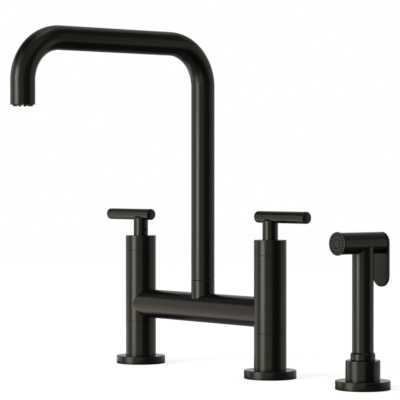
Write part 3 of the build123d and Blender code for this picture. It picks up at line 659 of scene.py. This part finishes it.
def make_nuts():
    """Hexagonal nuts whose corners slope on both faces."""
    low, high = box_of("mounting_nuts")
    segments = 96
    flat = nut_width / 2
    level = nut_level * flat
    bore = shank_radius + slip_gap
    mouth = bore + nut_countersink

    def outline(angle):
        """The radii and heights of a nut's eight rings at one angle."""
        turn = (angle + pi / 6) % (pi / 3) - pi / 6
        side = flat / cos(pi / 6 - abs(turn))
        drop = max(0.0, side - level) * tan(nut_slope)
        return (
            (bore, low.z + nut_countersink),
            (mouth, low.z),
            (level, low.z),
            (side, low.z + drop),
            (side, high.z - drop),
            (level, high.z),
            (mouth, high.z),
            (bore, high.z - nut_countersink),
        )

    points = []
    faces = []
    for x in (left_x, right_x, spray_x):
        rings = []
        for i in range(8):
            rings.append(range(len(points), len(points) + segments))
            for k in range(segments):
                angle = 2 * pi * k / segments
                radius, height = outline(angle)[i]
                points.append(Vector((x + radius * cos(angle), radius * sin(angle), height)))
        for i, ring in enumerate(rings):
            faces += strip(ring, rings[(i + 1) % len(rings)])
    add_piece("hexagon_nuts", "faucet_body", ["mounting_nuts"], points, faces, crease=22.0)


def make_washers():
    """The soft and the steel washers between the deck and the nuts."""
    places = [upright(x) for x in (left_x, right_x, spray_x)]
    bore = shank_radius + slip_gap
    for name, node, size in (
        ("soft_washers", "rubber_washers", 0.6),
        ("clamping_washers", "steel_washers", 0.35),
    ):
        low, high = box_of(node)
        outer = half_depth(node)
        stations = rounded([
            (outer, low.z, size),
            (outer, high.z, size),
            (bore, high.z, size / 2),
            (bore, low.z, size / 2),
        ])
        turned(name, "faucet_body", [node], places, stations)


def bar_dome(radius, end):
    """Half of a bar's outline: its side, an eased edge and a slightly domed end."""
    edge_steps = 6
    crown_steps = 8
    sphere = (radius**2 + bar_crown**2) / (2 * bar_crown)
    tilt = asin((radius - bar_edge) / sphere)
    stations = []
    for k in range(edge_steps + 1):
        angle = (pi / 2 - tilt) * k / edge_steps
        normal = Vector((cos(angle), sin(angle)))
        stations.append((Vector((radius - bar_edge, 0)) + normal * bar_edge, normal))
    shift = end - sphere
    foot = sphere * cos(tilt) + shift - stations[-1][0].y
    stations = [(spot + Vector((0, foot)), normal) for spot, normal in stations]
    for k in range(1, crown_steps + 1):
        angle = tilt * (1 - k / crown_steps)
        normal = Vector((sin(angle), cos(angle)))
        stations.append((normal * sphere + Vector((0, shift)), normal))
    stations[-1] = (Vector((0, end)), Vector((0, 1)))
    return stations


def make_set_screw(side):
    """A short screw with a hexagonal socket, in the side of a handle's stem. The right one is the
    left one's mirror image, so the left one's box serves for both."""
    low, high = box_of("left_set_screw")
    radius = (high.z - low.z) / 2
    height = (low.z + high.z) / 2
    socket = socket_width / 2
    bore = socket * socket_round
    stations = rounded([
        (0, low.x, 0),
        (radius, low.x, 0.25),
        (radius, high.x, 0.25),
        (bore, high.x, 0.08),
        (bore, high.x - socket_depth, 0.02),
        (0, high.x - socket_depth, 0),
    ])

    def line(along):
        if side == "left":
            return Vector((along, 0, height)), Vector((0, 1, 0)), Vector((0, 0, 1))
        return Vector((-along, 0, height)), Vector((0, 0, 1)), Vector((0, 1, 0))

    def hexagon(point):
        """Draws the points of the socket's wall out to the hexagon's sides."""
        across = Vector((0, point.y, point.z - height))
        if 0 < across.length < (bore + radius) / 2:
            turn = (atan2(across.z, across.y) + pi / 6) % (pi / 3) - pi / 6
            across *= socket / cos(turn) / bore
        return Vector((point.x, across.y, across.z + height))

    turned(
        side + "_socket_screw", side + "_handle", [side + "_set_screw"], [line], stations,
        segments=48, reshape=hexagon,
    )


def make_column(side, x):
    """A column's pillar and cap, and the cross bar of its handle."""
    node = side + "_pillar"
    low, high = box_of(node)
    bore = shank_radius + slip_gap
    stations = rounded([
        (column_radius, low.z, 0.1),
        (column_radius, high.z, 0.25),
        (bore, high.z, 0.1),
        (bore, low.z, 0.1),
    ])
    turned(side + "_pillar_tube", "faucet_body", [node], [upright(x)], stations, segments=128)
    node = side + "_cap"
    low, high = box_of(node)
    roof = high.z - cap_roof
    stations = rounded([
        (column_radius, low.z, 0.25),
        (column_radius, high.z, 0.35),
        (cap_opening / 2, high.z, 0.25),
        (cap_opening / 2, roof, 0.05),
        (cap_bore / 2, roof, 0.05),
        (cap_bore / 2, low.z, 0.2),
    ])
    turned(side + "_cap_shell", "faucet_body", [node], [upright(x)], stations, segments=128)
    node = side + "_handle_bar"
    low, high = box_of(node)
    dome = bar_dome((high.z - low.z) / 2, high.x)
    ends = low.x + high.x
    far_dome = []
    for spot, way in reversed(dome):
        far_dome.append((Vector((spot.x, ends - spot.y)), Vector((way.x, -way.y))))
    line = along_x((low.z + high.z) / 2)
    turned(side + "_cross_bar", side + "_handle", [node], [line], far_dome + dome, segments=80)


# ---- Bridge and spout ---------------------------------------------------------------------------
def make_bridge():
    """The tube between the columns. Its ends follow the columns' round sides, and the neck of the
    spout's socket goes through a round opening in its top."""
    low, high = box_of("bridge_tube")
    radius = (high.y - low.y) / 2
    bore = radius - bridge_wall
    height = (low.z + high.z) / 2
    reach = column_radius + slip_gap
    straight = right_x - reach - bridge_saddle
    opening = socket_neck / 2 + slip_gap
    segments = 128
    patch = 11.5  # half of the length round the opening that gets its own rings
    columns = 24
    first, last = 12, 51  # the patch's edges round the tube, at its back and its front
    shares = (0.3, 0.65, 1.0)  # of the way from the patch's edge to the opening, for each ring
    margin = 10.0  # how far from the straight length's ends the grid's next places are
    tolerance = 1e-6  # in metres
    places = [left_x, margin - straight]
    places += [patch * (2 * i / columns - 1) for i in range(columns + 1)]
    places += [straight - margin, right_x]
    start, finish = 2, 2 + columns  # the patch's edges in that list
    points = []
    faces = []

    def point(x, y, z):
        points.append(Vector((x, y, z)))
        return len(points) - 1

    def skin(size):
        """A grid on one wall of the tube. Gives its rings and the edge of the patch left open."""
        grid = []
        for place in places:
            row = []
            for k in range(segments):
                angle = 2 * pi * (k + 0.5) / segments
                y = size * cos(angle)
                x = place
                if abs(x) > straight:
                    x = (1 if x > 0 else -1) * (right_x - sqrt(reach**2 - y**2))
                row.append(point(x, y, height + size * sin(angle)))
            grid.append(row)
        for i, (one, two) in enumerate(zip(grid, grid[1:])):
            sides = strip(one, two)
            if start <= i < finish:
                del sides[first:last]
            faces.extend(sides)
        edge = [grid[i][first] for i in range(start, finish)]
        edge += [grid[finish][k] for k in range(first, last)]
        edge += [grid[i][last] for i in range(finish, start, -1)]
        edge += [grid[start][k] for k in range(last, first, -1)]
        return grid, edge

    outer_grid, outer_edge = skin(radius)
    inner_grid, inner_edge = skin(bore)
    turns = [atan2(points[i].y, points[i].x) for i in outer_edge]
    rims = []
    for size, edge in ((radius, outer_edge), (bore, inner_edge)):
        rings = [edge]
        for share in shares:
            ring = []
            for index, turn in zip(edge, turns):
                spot = points[index]
                x = spot.x + (opening * cos(turn) - spot.x) * share
                y = spot.y + (opening * sin(turn) - spot.y) * share
                ring.append(point(x, y, height + sqrt(size**2 - y**2)))
            rings.append(ring)
        rims.append(rings)
    rings = rims[0] + rims[1][::-1]
    for one, two in zip(rings, rings[1:]):
        faces += strip(one, two)
    for i in (0, -1):
        faces += strip(outer_grid[i], inner_grid[i])
    pipe = add_piece("bridge_pipe", "faucet_body", ["bridge_tube"], points, faces)
    normals = []
    for face in pipe.data.polygons:
        spots = [pipe.data.vertices[index].co for index in face.vertices]
        ways = [Vector((0, spot.y, spot.z - height * mm)) for spot in spots]
        if all(abs(way.length - radius * mm) < tolerance for way in ways):
            normals += [way.normalized() for way in ways]
        elif all(abs(way.length - bore * mm) < tolerance for way in ways):
            normals += [-way.normalized() for way in ways]
        else:
            normals += [face.normal.copy()] * len(ways)
    pipe.data.normals_split_custom_set(normals)


def make_spring(name, body, node, coil):
    """A coil spring along its node's box, which moves with its body as one piece."""
    wire, turns, travel = coil
    low, high = box_of(node)
    size = high - low
    way = max(range(3), key=lambda i: size[i])
    ahead = Vector([float(i == way) for i in range(3)])
    across = Vector([float(i == (way + 1) % 3) for i in range(3)])
    over = ahead.cross(across)
    middle = (low + high) / 2
    radius = (min(size) - wire) / 2
    turn_steps = 36
    steps = turn_steps * turns
    sides = 12
    points = []
    rings = []
    for i in range(steps + 1):
        turn = 2 * pi * turns * i / steps
        outward = across * cos(turn) + over * sin(turn)
        centre = middle + outward * radius + ahead * (size[way] - wire) * (i / steps - 0.5)
        rings.append(list(range(len(points), len(points) + sides)))
        for k in range(sides):
            angle = 2 * pi * k / sides
            points.append(centre + (outward * cos(angle) + ahead * sin(angle)) * wire / 2)
    faces = []
    for one, two in zip(rings, rings[1:]):
        faces += strip(one, two)
    faces += [rings[0], rings[-1]]
    piece = add_piece(name, body, [node], points, faces, crease=50.0)
    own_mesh(piece)


def make_spout():
    """One bent tube, from the socket up, over and down to its outlet."""
    low, high = box_of("spout_tube")
    radius = (high.x - low.x) / 2
    top = high.z - radius
    reach = low.y + radius
    outlet = box_of("aerator_screen")[0].z - spout_lip
    rise = top - spout_bend - low.z
    quarter = pi / 2 * spout_bend
    run = -reach - 2 * spout_bend
    drop = top - spout_bend - outlet
    whole = rise + quarter + run + quarter + drop
    sideways = Vector((1, 0, 0))

    def line(along):
        if along <= rise:
            heading = 0.0
            centre = Vector((0, 0, low.z + along))
        elif along <= rise + quarter:
            heading = (along - rise) / spout_bend
            y = spout_bend * (cos(heading) - 1)
            centre = Vector((0, y, top - spout_bend * (1 - sin(heading))))
        elif along <= rise + quarter + run:
            heading = pi / 2
            centre = Vector((0, -spout_bend - (along - rise - quarter), top))
        elif along <= rise + 2 * quarter + run:
            heading = pi / 2 + (along - rise - quarter - run) / spout_bend
            turn = heading - pi / 2
            y = reach + spout_bend * (1 - sin(turn))
            centre = Vector((0, y, top - spout_bend * (1 - cos(turn))))
        else:
            heading = pi
            centre = Vector((0, reach, outlet + whole - along))
        return centre, sideways, Vector((0, cos(heading), sin(heading)))

    bore = radius - spout_wall
    stations = rounded([
        (radius, 0, 0.15),
        (radius, whole, 0.4),
        (bore, whole, 0.4),
        (bore, 0, 0.15),
    ])
    turned("spout_pipe", "spout", ["spout_tube"], [line], divided(stations, longest=2.0))


# ---- Side spray ---------------------------------------------------------------------------------
def make_spray_stand():
    """The side spray's holder, and the ferrule that sits in it."""
    low, high = box_of("spray_holder")
    outer = half_depth("spray_holder")
    step = box_of("spray_shank")[1].z + slip_gap
    stations = rounded([
        (outer, low.z, 0.1),
        (outer, high.z, 0.6),
        (liner_seat / 2 + slip_gap, high.z, 0.15),
        (liner_seat / 2 + slip_gap, step, 0.05),
        (shank_radius + slip_gap, step, 0.05),
        (shank_radius + slip_gap, low.z, 0.2),
    ])
    line = upright(spray_x)
    turned("spray_holder_cup", "faucet_body", ["spray_holder"], [line], stations, segments=128)
    seat = high.z
    low = box_of("spray_ferrule")[0]
    outer = half_depth("spray_ferrule")
    stations = rounded([
        (ferrule_tail / 2, low.z, 0.3),
        (ferrule_tail / 2, seat, 0.1),
        (outer, seat, collar_round[1]),
        (outer, seat + collar_height, collar_round[0]),
        (ferrule_cup / 2, seat + collar_height, 0.1),
        (ferrule_cup / 2, seat + ferrule_floor, 0.1),
        (ferrule_bore / 2, seat + ferrule_floor, 0.1),
        (ferrule_bore / 2, low.z, 0.1),
    ], steps=8)
    turned("spray_collar", "ferrule", ["spray_ferrule"], [line], stations, segments=112)


def make_wand():
    """The upright tube. Its foot is eased and its top follows the head's round underside."""
    low = box_of("spray_wand_tube")[0]
    head_low, head_high = box_of("spray_head")
    outer = half_depth("spray_wand_tube")
    bore = outer - wand_wall
    head_axis = (head_low.z + head_high.z) / 2
    reach = (head_high.x - head_low.x) / 2 + slip_gap
    straight = head_axis - reach - wand_cope
    end = straight + wand_cope

    def cope(point):
        if point.z > (straight + end) / 2:
            point.z = head_axis - sqrt(reach**2 - (point.x - spray_x) ** 2)
        return point

    corners = rounded([
        (outer, low.z, 0.3),
        (outer, straight, 0.1),
        (bore, straight, 0.1),
        (bore, low.z, 0.3),
    ])
    count = len(corners) // 4
    outward = Vector((1, 0))
    stations = corners[:count]
    stations += [(Vector((outer, place)), outward) for place in (straight, end)]
    stations += [(Vector((bore, place)), -outward) for place in (end, straight)]
    stations += corners[-count:]
    turned(
        "spray_wand_pipe", "wand", ["spray_wand_tube"], [upright(spray_x)], stations,
        segments=112, reshape=cope,
    )


def make_face():
    """The perforated face: a rounded plate with countersunk holes, its neck, and the plug."""
    low, high = box_of("spray_face")
    head_low, head_high = box_of("spray_head")
    centre_z = (low.z + high.z) / 2
    outer = (high.z - low.z) / 2
    front = low.y
    back = front + face_thickness
    shoulder = back + face_groove
    end = high.y
    neck = (head_high.z - head_low.z) / 2 - face_groove_depth
    plug = face_plug / 2
    segments = 96
    hole_segments = 20
    edge_steps = 4
    work = bmesh.new()

    def ring(radius, y, across=0.0, up=0.0, count=segments):
        made = []
        for k in range(count):
            angle = 2 * pi * k / count
            x = spray_x + across + radius * cos(angle)
            made.append(work.verts.new((x, y, centre_z + up + radius * sin(angle))))
        return made

    def join(one, two):
        for corners in strip(one, two):
            work.faces.new(corners)

    def loop_edges(verts):
        edges = []
        for k in range(len(verts)):
            pair = (verts[k], verts[(k + 1) % len(verts)])
            edges.append(work.edges.get(pair) or work.edges.new(pair))
        return edges

    middle = (outer - face_edge, front + face_edge)  # of the arc round the front
    outline = [(middle[0], front)]
    for k in range(1, edge_steps + 1):
        angle = pi / 2 * k / edge_steps
        outline.append((middle[0] + face_edge * sin(angle), middle[1] - face_edge * cos(angle)))
    outline += [
        (outer, back - face_chamfer),
        (outer - face_chamfer, back),
        (neck, back),
        (neck, shoulder),
        (plug, shoulder),
        (plug, end - face_plug_chamfer[1]),
        (plug - face_plug_chamfer[0], end),
        (plug - face_plug_wall, end),
        (plug - face_plug_wall, back + face_neck_wall),
        (neck - face_neck_wall, back + face_neck_wall),
        (neck - face_neck_wall, back),
    ]
    rings = [ring(radius, y) for radius, y in outline]
    for one, two in zip(rings, rings[1:]):
        join(one, two)
    front_edges = loop_edges(rings[0])
    back_edges = loop_edges(rings[-1])
    for count, distance in face_rings:
        for k in range(count):
            angle = 2 * pi * k / count
            place = (distance * cos(angle), distance * sin(angle), hole_segments)
            mouth = ring(hole_mouth, front, *place)
            throat = ring(hole_radius, front + hole_mouth - hole_radius, *place)
            exit_rim = ring(hole_radius, back, *place)
            join(mouth, throat)
            join(throat, exit_rim)
            front_edges += loop_edges(mouth)
            back_edges += loop_edges(exit_rim)
    bmesh.ops.triangle_fill(work, use_beauty=True, edges=front_edges)
    bmesh.ops.triangle_fill(work, use_beauty=True, edges=back_edges)
    work.verts.index_update()
    points = [vert.co.copy() for vert in work.verts]
    faces = [[vert.index for vert in face.verts] for face in work.faces]
    work.free()
    add_piece("spray_face_plate", "wand", ["spray_face"], points, faces, crease=28.0)


# ---- The whole scene ----------------------------------------------------------------------------
make_camera()
make_world()
make_floor()
softbox("key", left=56.3, up=8.2, distance=2.6, width=1.26, height=1.43, level=8.5)
make_surround()

for side, x in (("left", left_x), ("right", right_x)):
    make_flange(side, x, column_radius)
    make_column(side, x)
    make_shank(side, x)
    make_set_screw(side)
make_flange("spray", spray_x, half_depth("spray_holder"))
make_shank("spray", spray_x)
make_nuts()
make_washers()
make_bridge()
make_spring("diverter_coil", "faucet_body", "diverter_spring", diverter_coil)
make_spring("valve_coil", "wand", "spray_valve_spring", valve_coil)
make_spout()
make_spray_stand()
make_wand()
make_face()

for name, node in frame["nodes"].items():
    node.data.materials.clear()
    node.data.materials.append(finishes[slot_of_node[name]])

bpy.context.scene.view_settings.view_transform = "Standard"
